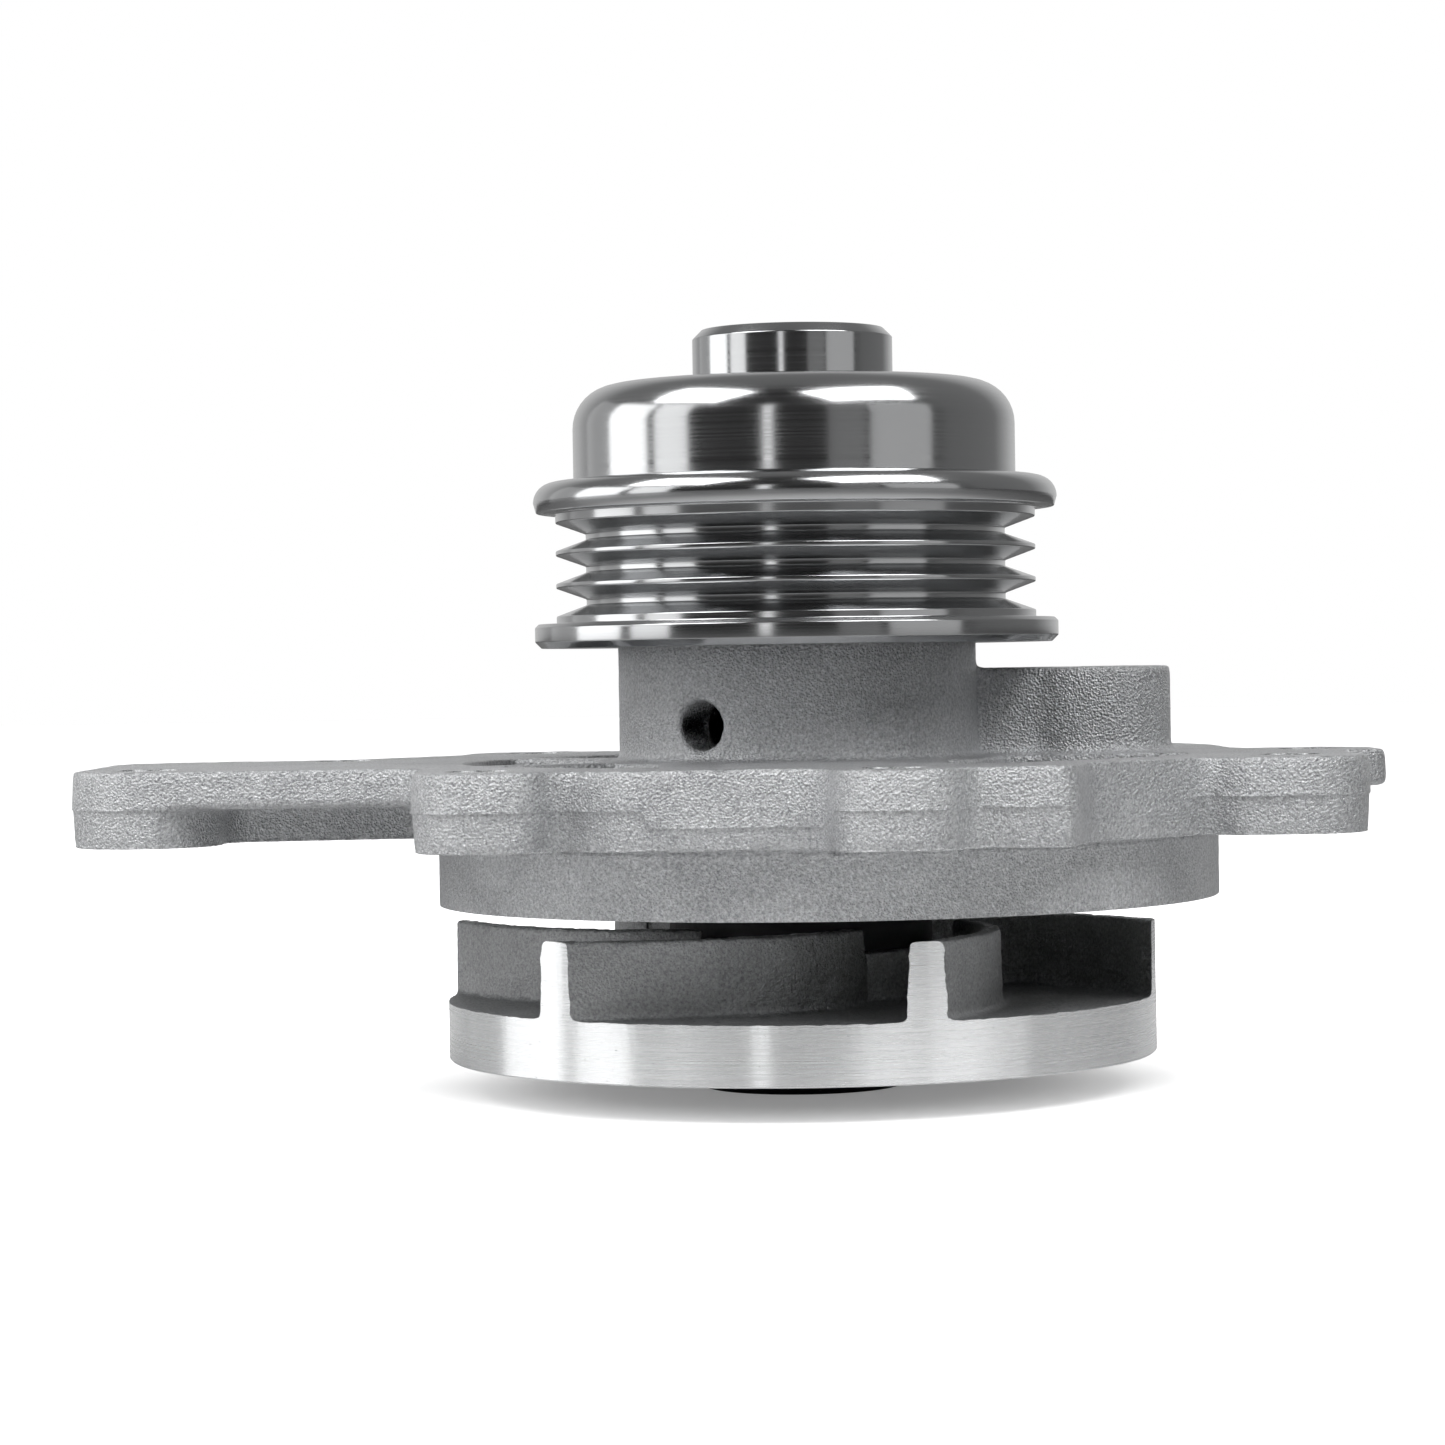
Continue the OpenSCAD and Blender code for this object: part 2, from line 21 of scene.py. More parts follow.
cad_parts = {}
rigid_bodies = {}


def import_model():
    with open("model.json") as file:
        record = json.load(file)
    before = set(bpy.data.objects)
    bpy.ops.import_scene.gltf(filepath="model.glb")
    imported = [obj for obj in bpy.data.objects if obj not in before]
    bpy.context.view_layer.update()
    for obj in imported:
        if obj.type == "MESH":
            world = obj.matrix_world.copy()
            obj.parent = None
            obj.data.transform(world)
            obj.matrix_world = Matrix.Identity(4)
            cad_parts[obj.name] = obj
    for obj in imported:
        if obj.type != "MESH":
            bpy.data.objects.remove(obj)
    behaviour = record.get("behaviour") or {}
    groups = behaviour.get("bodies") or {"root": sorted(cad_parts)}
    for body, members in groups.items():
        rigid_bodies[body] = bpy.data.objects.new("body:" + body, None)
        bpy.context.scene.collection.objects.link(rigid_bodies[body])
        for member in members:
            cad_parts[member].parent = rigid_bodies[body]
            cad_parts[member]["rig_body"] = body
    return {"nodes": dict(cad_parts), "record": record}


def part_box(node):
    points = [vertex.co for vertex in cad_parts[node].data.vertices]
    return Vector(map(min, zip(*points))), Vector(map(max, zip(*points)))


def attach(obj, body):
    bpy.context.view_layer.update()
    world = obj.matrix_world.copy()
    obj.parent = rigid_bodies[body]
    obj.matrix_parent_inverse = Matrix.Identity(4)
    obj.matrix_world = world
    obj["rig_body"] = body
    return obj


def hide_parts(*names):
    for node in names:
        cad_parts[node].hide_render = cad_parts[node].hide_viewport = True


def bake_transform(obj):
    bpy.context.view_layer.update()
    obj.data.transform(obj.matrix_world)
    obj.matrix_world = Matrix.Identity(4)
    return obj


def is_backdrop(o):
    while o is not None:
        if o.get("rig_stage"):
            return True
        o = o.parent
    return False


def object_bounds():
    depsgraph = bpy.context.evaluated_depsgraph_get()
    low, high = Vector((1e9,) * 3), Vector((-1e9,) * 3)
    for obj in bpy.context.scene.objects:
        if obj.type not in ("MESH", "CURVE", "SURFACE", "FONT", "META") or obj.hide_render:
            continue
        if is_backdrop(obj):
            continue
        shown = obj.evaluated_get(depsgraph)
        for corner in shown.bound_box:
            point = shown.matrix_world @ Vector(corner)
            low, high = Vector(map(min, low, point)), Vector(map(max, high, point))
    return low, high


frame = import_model()
cad_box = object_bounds()
MM = 0.001
nodes = frame["nodes"]
mounts = {mount["name"]: mount for mount in frame["record"]["mounts"]}
print("size in mm:", [round(side / MM, 1) for side in cad_box[1] - cad_box[0]])

# %% [markdown]
# ## Camera
#
# A small part is pictured from about half a metre with a long lens, so that its upright edges
# stay upright. The camera stands a little over the cover, so we look along the cover's edge and
# see just a sliver of its top. It is tipped down and rolled by less than a degree.

# %% Camera
eye = Vector((-8.27, -432.97, 18.64)) * MM
tilt_down = math.radians(0.87)
roll = math.radians(-0.894)
lens = bpy.data.cameras.new("camera")
lens.sensor_width = 36
lens.lens = 98.3
lens.clip_start, lens.clip_end = 0.01, 50
camera = bpy.data.objects.new("camera", lens)
aim = Matrix.Rotation(math.pi / 2 - tilt_down, 4, "X") @ Matrix.Rotation(roll, 4, "Z")
camera.matrix_world = Matrix.Translation(eye) @ aim
bpy.context.scene.collection.objects.link(camera)
bpy.context.scene.camera = camera
print("the camera is", round(eye.length / MM), "mm from the shaft")

# %% [markdown]
# ## Helpers for colour and shader nodes
#
# Colours are written as the sRGB hex values that a colour card shows, and turned to linear light
# once. `add` puts one node in a tree: settings are the node's own options, and `plugs` are its
# inputs, which take either a value or another node's output.

# %% Colour and nodes
def linear(hex_colour):
    """An sRGB hex colour as linear light."""
    channels = [int(hex_colour[i:i + 2], 16) / 255 for i in (1, 3, 5)]
    return [c / 12.92 if c <= 0.04045 else ((c + 0.055) / 1.055) ** 2.4 for c in channels] + [1]


def add(tree, kind, plugs=None, **settings):
    """Adds one node with its settings and its inputs."""
    made = tree.nodes.new(kind)
    for name, value in settings.items():
        setattr(made, name, value)
    for socket, value in (plugs or {}).items():
        if isinstance(value, bpy.types.NodeSocket):
            tree.links.new(value, made.inputs[socket])
        else:
            made.inputs[socket].default_value = value
    return made


# %% [markdown]
# ## The room
#
# Bright metal shows its surroundings more than itself, so even the empty room matters. A dark
# room behind the camera and a lighter one behind the pump give the pulley its dark middle and
# its paler sides. The camera itself sees plain white paper there.

# %% Room
room_tones = ((0.3, 0.035), (0.47, 0.19), (0.8, 0.24), (0.94, 0.62))
world = bpy.data.worlds.new("studio")
bpy.context.scene.world = world
world.use_nodes = True
tree = world.node_tree
tree.nodes.clear()
towards = add(tree, "ShaderNodeTexCoord").outputs["Generated"]
side = add(tree, "ShaderNodeSeparateXYZ", {"Vector": towards})
depth = add(tree, "ShaderNodeMapRange", {"Value": side.outputs["Y"], "From Min": -1, "From Max": 1})
walls = add(tree, "ShaderNodeValToRGB", {"Fac": depth.outputs["Result"]})
ramp_stops = walls.color_ramp.elements
for where, tone in room_tones:
    ramp_stops.new(where).color = (tone, tone, tone, 1)
ramp_stops.remove(ramp_stops[0])
ramp_stops.remove(ramp_stops[-1])
room = add(tree, "ShaderNodeBackground", {"Color": walls.outputs["Color"], "Strength": 1})
paper = add(tree, "ShaderNodeBackground", {"Color": (1, 1, 1, 1), "Strength": 1})
ray = add(tree, "ShaderNodeLightPath").outputs["Is Camera Ray"]
seen = add(tree, "ShaderNodeMixShader", {0: ray, 1: room.outputs[0], 2: paper.outputs[0]})
add(tree, "ShaderNodeOutputWorld", {"Surface": seen.outputs[0]})
print("the room has", len(ramp_stops), "tones")

# %% [markdown]
# ## The table
#
# The pump stands on a lit white sheet. Seen from the camera the sheet also glows, and the glow is
# painted weaker close under the pump: that is a painted shadow, soft round the shaft. Metal near the
# sheet mirrors it bright, and the pulley, higher up, mirrors its far part, which is darker: that is a
# painted pool of light, because the sheet's colour for everything but the camera is painted bright
# near the pump and dark further off.


# %% Table
def own_place(tree):
    """Where a point is on its own object, in metres."""
    return add(tree, "ShaderNodeTexCoord").outputs["Object"]


def new_finish(name, colour, metallic, roughness):
    """A material with these typical values, ready for its own detail."""
    finish = bpy.data.materials.new(name)
    finish.use_nodes = True
    surface = finish.node_tree.nodes["Principled BSDF"]
    surface.inputs["Base Color"].default_value = linear(colour)
    surface.inputs["Metallic"].default_value = metallic
    surface.inputs["Roughness"].default_value = roughness
    return finish, finish.node_tree, surface


table_half = 3.0
shadow_core, shadow_edge, shadow_glow = 20 * MM, 62 * MM, 0.22
near_sheet, far_sheet = 90 * MM, 220 * MM
sheet_finish, tree, sheet = new_finish("white_light_sheet", "#F4F4F4", 0, 0.6)
sheet.inputs["Emission Color"].default_value = linear("#FFFFFF")
ray = add(tree, "ShaderNodeLightPath").outputs["Is Camera Ray"]
away = add(tree, "ShaderNodeVectorMath", {0: own_place(tree)}, operation="LENGTH").outputs["Value"]
fading = add(tree, "ShaderNodeMapRange", {
    "Value": away, "From Min": near_sheet, "From Max": far_sheet,
})
# Painted pool of light: for all rays but the camera's, the sheet is painted bright near the pump and
# darker further off.
painted_light_pool = add(tree, "ShaderNodeMix", {
    "Factor": fading.outputs["Result"], "A": linear("#DADADA"), "B": linear("#747474"),
}, data_type="RGBA").outputs[2]
seen = add(tree, "ShaderNodeMix", {"Factor": ray, "A": painted_light_pool, "B": linear("#F4F4F4")},
           data_type="RGBA")
# Painted shadow: the camera sees the sheet glow less within a few centimetres of the shaft.
painted_shadow_glow = add(tree, "ShaderNodeMapRange", {
    "Value": away, "From Min": shadow_core, "From Max": shadow_edge, "To Min": shadow_glow,
}, interpolation_type="SMOOTHSTEP")
shown = add(tree, "ShaderNodeMath", {0: ray, 1: painted_shadow_glow.outputs["Result"]}, operation="MULTIPLY")
tree.links.new(seen.outputs[2], sheet.inputs["Base Color"])
tree.links.new(shown.outputs[0], sheet.inputs["Emission Strength"])

table_mesh = bpy.data.meshes.new("table")
corners = ((-1, -1), (1, -1), (1, 1), (-1, 1))
table_mesh.from_pydata([(x * table_half, y * table_half, 0) for x, y in corners], [], [(0, 1, 2, 3)])
table_mesh.materials.append(sheet_finish)
table = bpy.data.objects.new("table", table_mesh)
table.location.z = cad_box[0].z
bpy.context.scene.collection.objects.link(table)
table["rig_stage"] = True
bpy.context.scene.view_settings.view_transform = "Standard"
print("the table is", round(table.location.z / MM, 1), "mm below the cover's mounting face")

# %% [markdown]
# ## The lights
#
# The lights are placed for what the pulley mirrors: two large softboxes side by side on the
# left, a narrow strip just left of the camera, a dimmer softbox on the right, one high up on
# each side for the dome, and darkness between them. A light's power is worked out from how
# bright its face looks, so that its size can change without changing its tone.


# %% Softboxes
def softbox(name, azimuth, elevation, distance, width, height, radiance):
    """A soft light that faces the pump. Azimuth 0 is the camera's side, and 90 the right."""
    light = bpy.data.lights.new(name, "AREA")
    light.shape = "RECTANGLE"
    light.size, light.size_y = width, height
    light.energy = radiance * math.pi * width * height
    lamp = bpy.data.objects.new(name, light)
    a, e = math.radians(azimuth), math.radians(elevation)
    out = Vector((math.sin(a) * math.cos(e), -math.cos(a) * math.cos(e), math.sin(e)))
    lamp.location = out * distance
    lamp.rotation_euler = (-out).to_track_quat("-Z", "Y").to_euler()
    lamp.visible_camera = False
    bpy.context.scene.collection.objects.link(lamp)


# Name, azimuth, elevation, distance, width, height in metres, and radiance
softbox("left_softbox_back", -96, 12, 0.8, 0.4, 0.6, 2.0)
softbox("left_softbox_front", -66.5, 12, 0.8, 0.28, 0.6, 1.5)
softbox("left_softbox_top", -66, 52, 0.8, 0.5, 0.4, 6)
softbox("left_wall", -122, 12, 0.9, 0.42, 0.6, 0.3)
softbox("strip_light", -14, 8, 0.9, 0.08, 0.7, 1.4)
softbox("right_reflector", 26, 8, 0.9, 0.3, 0.6, 0.2)
softbox("right_softbox", 56, 10, 0.8, 0.5, 0.5, 0.56)
softbox("right_softbox_top", 46, 52, 0.8, 0.6, 0.4, 6.8)
print(len(bpy.data.lights), "lights")


# %% [markdown]
# ## Turned steel: the pulley
#
# The pulley is plain steel, turned on a lathe and left bright. The tool leaves fine rings, which
# spread a reflection along the shaft and keep it sharp across: that is anisotropy. The rings are
# a noise that depends only on the radius and the height, so it can't vary round the part.
# Real feed marks are about 0.08 mm apart, too fine to show, so they are drawn 0.25 mm apart.

# %% Finish: turned steel
def ring_marks(tree, spacing):
    """A noise that is the same all the way round the shaft, with marks this far apart, in mm."""
    xyz = add(tree, "ShaderNodeSeparateXYZ", {"Vector": own_place(tree)})
    flat = add(tree, "ShaderNodeCombineXYZ", {"X": xyz.outputs["X"], "Y": xyz.outputs["Y"]})
    radius = add(tree, "ShaderNodeVectorMath", {0: flat.outputs[0]}, operation="LENGTH")
    ring = add(tree, "ShaderNodeCombineXYZ", {"X": radius.outputs["Value"], "Z": xyz.outputs["Z"]})
    return add(tree, "ShaderNodeTexNoise", {
        "Vector": ring.outputs[0], "Scale": 1 / (spacing * MM), "Detail": 3, "Roughness": 0.65,
    }).outputs["Fac"]


def vary_roughness(tree, surface, pattern, middle, spread):
    """The pattern moves the roughness to either side of its middle value."""
    varied = add(tree, "ShaderNodeMapRange", {
        "Value": pattern, "From Min": 0.3, "From Max": 0.7,
        "To Min": middle - spread, "To Max": middle + spread,
    })
    tree.links.new(varied.outputs["Result"], surface.inputs["Roughness"])


def two_tones(tree, surface, factor, first, second):
    """The surface's colour goes from the first linear colour to the second."""
    mixed = add(tree, "ShaderNodeMix", {"Factor": factor, "A": first, "B": second},
                data_type="RGBA")
    tree.links.new(mixed.outputs[2], surface.inputs["Base Color"])


def darker(colour, share):
    """A hex colour with only this share of its light, as linear light."""
    return [c * share for c in linear(colour)[:3]] + [1]


def bumps(tree, surface, layers):
    """Adds height patterns to the surface, each with its depth in mm."""
    normal = None
    for pattern, depth in layers:
        plugs = {"Height": pattern, "Distance": depth * MM, "Strength": 1}
        if normal is not None:
            plugs["Normal"] = normal
        normal = add(tree, "ShaderNodeBump", plugs).outputs["Normal"]
    tree.links.new(normal, surface.inputs["Normal"])


pit_spacing = 0.45


def turned(name, colour, roughness, spacing, depth, stretch, pits=0.0):
    """Metal cut on a lathe: rings round the shaft, reflections stretched across them, and pits.

    Spacing, depth and the depth of the pits are in mm.
    """
    finish, tree, surface = new_finish(name, colour, 1, roughness)
    marks = ring_marks(tree, spacing)
    vary_roughness(tree, surface, marks, roughness, 0.05)
    surface.inputs["Anisotropic"].default_value = stretch
    surface.inputs["Anisotropic Rotation"].default_value = 0.25
    around = add(tree, "ShaderNodeTangent", direction_type="RADIAL", axis="Z")
    tree.links.new(around.outputs[0], surface.inputs["Tangent"])
    layers = [(marks, depth)]
    if pits:
        pores = add(tree, "ShaderNodeTexNoise", {
            "Vector": own_place(tree), "Scale": 1 / (pit_spacing * MM), "Detail": 3, "Roughness": 0.6,
        }).outputs["Fac"]
        # The pits are sunk a little by a bump and painted dark: painted shade inside the pores.
        holes = add(tree, "ShaderNodeMapRange", {
            "Value": pores, "From Min": 0.25, "From Max": 0.3,
        }).outputs["Result"]
        two_tones(tree, surface, holes, darker(colour, 0.25), linear(colour))
        layers.append((holes, pits))
    bumps(tree, surface, layers)
    return finish


turned_steel = turned("turned_steel", "#BABBBC", 0.17, 0.25, 0.0012, 0.55)
print("turned steel is ready")

# %% [markdown]
# ## Cast and blasted aluminium: the cover and the impeller
#
# The cover is die-cast aluminium alloy, blasted with shot to take the flash off. Every shot
# leaves a dimple that mirrors the light its own way, so the skin glitters with a bright grain.
# The dimples are about 0.25 mm across: they are a cell pattern of that size, over a finer noise.
# The impeller is the same metal, not blasted, so it is flatter, and its colour is darker: partly the
# unblasted skin and partly painted shade, for the deep shade between its vanes. Where a tool has cut
# either of them the metal is bright, and the pores of the casting show as small pits, painted dark
# as the shade inside them.

# %% Finish: cast aluminium
def cast(name, light, dark, roughness, grain, depth):
    """As-cast metal: dimples of this size and depth in mm, on a skin that varies in tone."""
    finish, tree, surface = new_finish(name, light, 1, roughness)
    place = own_place(tree)
    dimples = add(tree, "ShaderNodeTexVoronoi", {
        "Vector": place, "Scale": 1 / (grain * MM), "Smoothness": 0.4,
    }, feature="SMOOTH_F1").outputs["Distance"]
    skin = add(tree, "ShaderNodeTexNoise", {
        "Vector": place, "Scale": 1 / (grain * 1.3 * MM), "Detail": 5, "Roughness": 0.75,
    }).outputs["Fac"]
    cloud = add(tree, "ShaderNodeTexNoise", {
        "Vector": place, "Scale": 1 / (9 * MM), "Detail": 2,
    }).outputs["Fac"]
    faint = add(tree, "ShaderNodeMath", {0: cloud, 1: 0.15}, operation="MULTIPLY").outputs[0]
    speck = add(tree, "ShaderNodeMath", {0: skin, 1: faint}, operation="ADD").outputs[0]
    tone = add(tree, "ShaderNodeMapRange", {"Value": speck, "From Min": 0.42, "From Max": 0.75})
    two_tones(tree, surface, tone.outputs["Result"], linear(dark), linear(light))
    vary_roughness(tree, surface, skin, roughness, 0.08)
    bumps(tree, surface, [(skin, depth), (dimples, depth * 0.8)])
    return finish


blasted_alloy = cast("blasted_cast_aluminium", "#E4E5E6", "#999A9D", 0.42, 0.25, 0.2)
# The impeller's skin is darker partly as painted shade, for the deep shade between its vanes.
unblasted_alloy_and_shade = cast("raw_cast_aluminium_and_painted_shade", "#C0C1C2", "#868788", 0.5, 0.25, 0.1)
milled_alloy = turned("machined_aluminium", "#F0F1F2", 0.27, 0.2, 0.001, 1.0, pits=0.03)
print("cast finishes are ready")

# %% [markdown]
# ## The other finishes
#
# Ground steel for the bearing and the shaft, pressed bright sheet for the seal's case, a
# near-black steel insert, moulded rubber, sintered ceramic, pressed carbon and natural nylon.
# Most of these are hidden inside, but a part is looked at from every side and taken apart.

# %% Other finishes
def plain(name, colour, metallic, roughness, grain, depth):
    """A moulded or pressed surface: a fine noise in its roughness, tone and height."""
    finish, tree, surface = new_finish(name, colour, metallic, roughness)
    skin = add(tree, "ShaderNodeTexNoise", {
        "Vector": own_place(tree), "Scale": 1 / (grain * MM), "Detail": 4, "Roughness": 0.6,
    }).outputs["Fac"]
    two_tones(tree, surface, skin, darker(colour, 0.72), linear(colour))
    vary_roughness(tree, surface, skin, roughness, 0.07)
    bumps(tree, surface, [(skin, depth)])
    return finish


ground_steel = turned("ground_bearing_steel", "#C4C4C6", 0.2, 0.2, 0.0008, 0.3)
pressed_steel = plain("pressed_stainless_sheet", "#CFCFD0", 1, 0.24, 0.5, 0.004)
# The insert is coloured near black, as dark as it looks.
near_black_steel = plain("near_black_insert_steel", "#262627", 0.3, 0.42, 0.4, 0.01)
rubber = plain("moulded_nitrile_rubber", "#1B1B1C", 0, 0.62, 0.5, 0.012)
carbon = plain("pressed_carbon", "#2C2C2E", 0, 0.45, 0.3, 0.004)
ceramic = plain("sintered_alumina", "#EFEBDF", 0, 0.3, 0.4, 0.002)
nylon = plain("natural_nylon", "#D8CBA8", 0, 0.48, 0.6, 0.008)
ceramic.node_tree.nodes["Principled BSDF"].inputs["IOR"].default_value = 1.76
print(len(bpy.data.materials), "materials")

# %% [markdown]
# ## Turned pieces from their own section
#
# A turned piece is its section swept round the shaft. The frame holds that section: the vertices
# of a round node that lie in the plane Y = 0 on the +X side are the section's corners. We walk
# along them, break every sharp corner with a small radius, as a lathe tool and a deburring cloth
# do, and sweep the result round in fine steps.

# %% Section, edge break and sweep
def half_section(node):
    """The closed outline of a round node, sawn along its axis, as (radius, height) pairs."""
    mesh = nodes[node].data
    corner = {
        v.index: (round(v.co.x, 6), round(v.co.z, 6))
        for v in mesh.vertices if abs(v.co.y) < 1e-6 and v.co.x > 0
    }
    beside = {}
    for edge in mesh.edges:
        a, b = (corner.get(i) for i in edge.vertices)
        if a is not None and b is not None and a != b:
            beside.setdefault(a, set()).add(b)
            beside.setdefault(b, set()).add(a)
    here = min(beside)
    walk, last = [here], None
    while True:
        ahead = [p for p in beside[here] if p != last]
        last, here = here, ahead[0]
        if here == walk[0]:
            return [Vector(p) for p in walk]
        walk.append(here)


def straighten(section):
    """Leaves out the points that lie on a straight line between their neighbours."""
    kept = []
    for i, here in enumerate(section):
        before, after = section[i - 1], section[(i + 1) % len(section)]
        if abs((here - before).normalized().cross((after - here).normalized())) > 0.004:
            kept.append(here)
    return kept


def break_edges(section, radius, sharp=20, steps=4):
    """Rounds each corner that turns by more than `sharp` degrees."""
    made = []
    for i, here in enumerate(section):
        before = section[i - 1] - here
        after = section[(i + 1) % len(section)] - here
        turn = math.pi - before.angle(after)
        if math.degrees(turn) < sharp:
            made.append(here)
            continue
        reach = radius * math.tan(turn / 2)
        reach = min(reach, before.length * 0.45, after.length * 0.45)
        start, end = here + before.normalized() * reach, here + after.normalized() * reach
        for k in range(steps + 1):
            t = k / steps
            made.append((1 - t) ** 2 * start + 2 * t * (1 - t) * here + t ** 2 * end)
    return made


def sweep(name, section, steps=288):
    """The mesh that a closed section makes when it turns once round the shaft."""
    angles = [2 * math.pi * k / steps for k in range(steps)]
    points = [(p.x * math.cos(a), p.x * math.sin(a), p.y) for a in angles for p in section]
    size = len(section)
    faces = []
    for k in range(steps):
        this, following = k * size, (k + 1) % steps * size
        for i in range(size):
            j = (i + 1) % size
            faces.append((this + i, following + i, following + j, this + j))
    mesh = bpy.data.meshes.new(name)
    mesh.from_pydata(points, [], faces)
    return mesh


# %% [markdown]
# ## Placing a piece
#
# Every piece stands for one node of the frame. It moves with the same body as that node, hides
# the node, and takes the place of its finish. A piece that has to bend rides on no body.


# %% Placing a piece
def smooth(mesh, sharp=32):
    """Soft shading with hard edges where the surface turns sharply, and faces that look out."""
    form = bmesh.new()
    form.from_mesh(mesh)
    bmesh.ops.recalc_face_normals(form, faces=form.faces)
    form.to_mesh(mesh)
    form.free()
    mesh.polygons.foreach_set("use_smooth", [True] * len(mesh.polygons))
    mesh.set_sharp_from_angle(angle=math.radians(sharp))


def place(name, mesh, finishes, node, rides=True):
    """Makes the piece that stands for a node, riding on the node's own body unless it bends."""
    for finish in finishes:
        mesh.materials.append(finish)
    item = bpy.data.objects.new(name, mesh)
    bpy.context.scene.collection.objects.link(item)
    if rides:
        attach(item, nodes[node]["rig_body"])
    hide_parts(node)
    return item


def turned_piece(name, node, finish, edge, rides=True):
    """A turned node, remade with broken edges."""
    section = break_edges(straighten(half_section(node)), edge * MM)
    mesh = sweep(name, section)
    smooth(mesh)
    print(name, "has", len(mesh.polygons), "faces")
    return place(name, mesh, [finish], node, rides)


# %% [markdown]
# ## Pulley, insert and seal case
#
# The pulley's edges are broken by less than 0.2 mm, so its crests stay crisp. The insert is
# tumbled and the seal's case is pressed from sheet, which leaves rounder edges.

# %% Pulley and the other turned pieces
pulley = turned_piece("belt_pulley", "pulley", turned_steel, 0.18)
insert = turned_piece("hub_insert", "impeller_insert", near_black_steel, 0.5)
case = turned_piece("seal_case_shell", "seal_case", pressed_steel, 0.4)

# %% [markdown]
# ## The seal's spring and bellows
#
# Inside the seal's case a coil spring of stainless wire presses the carbon ring on the turning
# seat, and a moulded rubber bellows closes the gap behind the ring. Both give when the ring
# floats up and down. Here each is only fixed where it stands and rides on no body.

# %% Spring and bellows
spring_wire = 1.1 * MM
spring_turns, wire_sides, turn_steps = 3.5, 16, 48


def give(item):
    """Bakes the piece's place into its mesh; it rides on no body."""
    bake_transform(item)


def coil(name, radius, wire, low, high):
    """The mesh of a round wire wound from the height low to the height high."""
    points, faces = [], []
    rings = int(spring_turns * turn_steps)
    for i in range(rings + 1):
        around = 2 * math.pi * i / turn_steps
        middle = low + wire / 2 + (high - low - wire) * i / rings
        for j in range(wire_sides):
            section = 2 * math.pi * j / wire_sides
            out = radius + wire / 2 * math.cos(section)
            points.append((out * math.cos(around), out * math.sin(around),
                           middle + wire / 2 * math.sin(section)))
    for i in range(rings):
        for j in range(wire_sides):
            k = (j + 1) % wire_sides
            here, ahead = i * wire_sides, (i + 1) * wire_sides
            faces.append((here + j, ahead + j, ahead + k, here + k))
    faces.append(range(wire_sides))
    faces.append(range(rings * wire_sides, (rings + 1) * wire_sides))
    mesh = bpy.data.meshes.new(name)
    mesh.from_pydata(points, [], faces)
    smooth(mesh)
    return mesh


low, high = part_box("seal_spring")
spring_mesh = coil("seal_coil", high.x - spring_wire / 2, spring_wire, low.z, high.z)
spring = place("seal_coil", spring_mesh, [pressed_steel], "seal_spring", rides=False)
give(spring)
bellows = turned_piece("rubber_bellows", "seal_bellows", rubber, 0.12, rides=False)
give(bellows)
print("the spring has", len(spring.data.polygons), "faces")

# %% [markdown]
# ## Casting by voxels
#
# A casting has no sharp edge and no sharp inside corner until a tool cuts it. Bevelling hundreds
# of edges by hand is fragile, so we copy what happens in the foundry. The rough shape is filled
# with small cubes and skinned again, then relaxed: outside edges round off and inside corners
# fill. After that the machined faces are cut with exact tools, which leaves them flat and crisp.

# %% Casting tools
def apply_modifiers(item):
    """Turns an object with its modifiers into a plain mesh."""
    graph = bpy.context.evaluated_depsgraph_get()
    made = bpy.data.meshes.new_from_object(item.evaluated_get(graph))
    item.modifiers.clear()
    item.data = made
    return item


def mould(item, voxel, rounds):
    """Skins the object again in voxels of this size, in mm, and relaxes it."""
    skin = item.modifiers.new("skin", "REMESH")
    skin.mode = "VOXEL"
    skin.voxel_size = voxel * MM
    relax = item.modifiers.new("relax", "SMOOTH")
    relax.factor = 0.5
    relax.iterations = rounds
    return apply_modifiers(item)


def roughen(item, size, depth):
    """Moves the skin in and out at random: waves of this size and depth, in mm."""
    texture = bpy.data.textures.new("waves_%g_mm" % size, "CLOUDS")
    texture.noise_scale = size * MM
    texture.noise_depth = 1
    waves = item.modifiers.new("waves", "DISPLACE")
    waves.texture = texture
    waves.texture_coords = "LOCAL"
    waves.strength = 2 * depth * MM
    waves.mid_level = 0.55
    return apply_modifiers(item)


def cut(item, tool, operation="DIFFERENCE"):
    """Machines the object with a solid tool. The cut gets the object's last finish."""
    last = len(item.data.materials) - 1
    tool.data.polygons.foreach_set("material_index", [last] * len(tool.data.polygons))
    machine = item.modifiers.new("machine", "BOOLEAN")
    machine.object = tool
    machine.operation = operation
    machine.solver = "MANIFOLD"
    apply_modifiers(item)
    bpy.data.objects.remove(tool)
    return item


def solid(name, mesh, finishes):
    """A tool for a step of the work, which rides on nothing and is used up."""
    for finish in finishes:
        mesh.materials.append(finish)
    item = bpy.data.objects.new(name, mesh)
    bpy.context.scene.collection.objects.link(item)
    return item


def rod(form, radius, start, end, sides=64):
    """Adds a closed cylinder between two points to a bmesh."""
    along = end - start
    turn = along.to_track_quat("Z", "Y").to_matrix().to_4x4()
    middle = Matrix.Translation((start + end) / 2)
    bmesh.ops.create_cone(form, cap_ends=True, segments=sides, radius1=radius, radius2=radius,
                          depth=along.length, matrix=middle @ turn)


# %% [markdown]
# ## The cover casting
#
# We start from the frame's own cover. The screw holes are plugged and the land gets some spare
# metal, because a foundry leaves both for the machine shop. The frame says where each screw hole
# is, but of the two pairs that lie opposite each other it only says how far out they are, so
# their angles are repeated here.

# %% Where the cover is drilled
def polar(radius, angle, z=0.0):
    """The point at this radius and angle in degrees."""
    a = math.radians(angle)
    return Vector((radius * math.cos(a), radius * math.sin(a), z))


